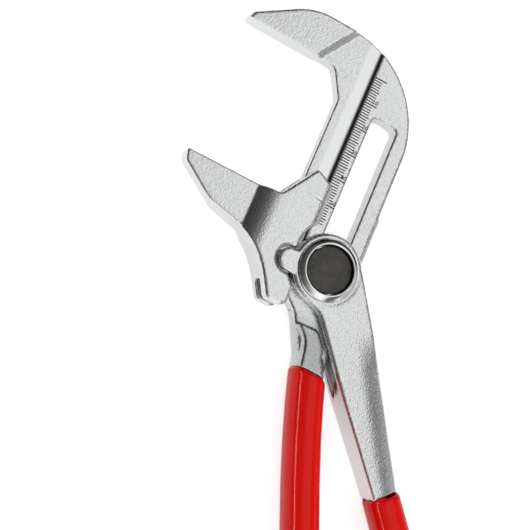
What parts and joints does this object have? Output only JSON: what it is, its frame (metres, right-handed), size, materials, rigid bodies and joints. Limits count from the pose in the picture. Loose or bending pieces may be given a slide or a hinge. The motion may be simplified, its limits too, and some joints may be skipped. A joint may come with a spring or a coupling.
{
  "type": "pliers wrench",
  "caption": "Parallel-jaw pliers wrench with a slotted shaft, toothed push-button adjustment, sliding jaw and dipped grips.",
  "frame": {"origin": "on the hinge axis, at the flat rear end of the hinge bolt, which the tool rests on", "axes": "+Y up the slotted shaft towards the fixed jaw, +Z out of the push button, +X from the jaw mouth towards the shaft's back"},
  "size_m": [0.1644, 0.233, 0.0187],
  "materials": {
    "forged_chrome": "satin chrome plate over a forged surface",
    "polished_chrome": "turned and polished chrome plate",
    "spring_steel": "bright spring steel",
    "black_oxide": "dark matt oxide",
    "red_sleeve": "dipped glossy PVC"
  },
  "bodies": {
    "fixed_lever": {"fixed_jaw_lever": "forged_chrome", "grip_left": "red_sleeve"},
    "carriage": {"hinge_bolt": "polished_chrome", "rear_bush": "polished_chrome", "snap_ring": "spring_steel", "button_spring": "spring_steel"},
    "lever": {"pivot_lever": "forged_chrome", "grip_right": "red_sleeve"},
    "jaw": {"sliding_jaw": "forged_chrome"},
    "button": {"push_button": "black_oxide", "locking_key": "spring_steel"}
  },
  "joints": [
    {"name": "adjust_slide", "type": "slide", "parent": "fixed_lever", "child": "carriage", "axis": [0, 1, 0], "range_m": [-0.00141, 0.04935]},
    {"name": "lever_pivot", "type": "hinge", "parent": "carriage", "child": "lever", "pos_m": [0, 0, 0.0094], "axis": [0, 0, 1], "range_deg": [-2, 15]},
    {"name": "jaw_lift", "type": "slide", "parent": "carriage", "child": "jaw", "axis": [0, 1, 0], "range_m": [-0.0037, 0.0005]},
    {"name": "button_press", "type": "slide", "parent": "carriage", "child": "button", "axis": [0, 0, -1], "range_m": [0, 0.0023], "stiffness_N_per_m": 1500, "springref_m": -0.002, "deforming": ["button_spring"]}
  ],
  "couplings": [
    {"joint": "jaw_lift", "follows": "lever_pivot", "m_per_rad": -0.0141}
  ]
}
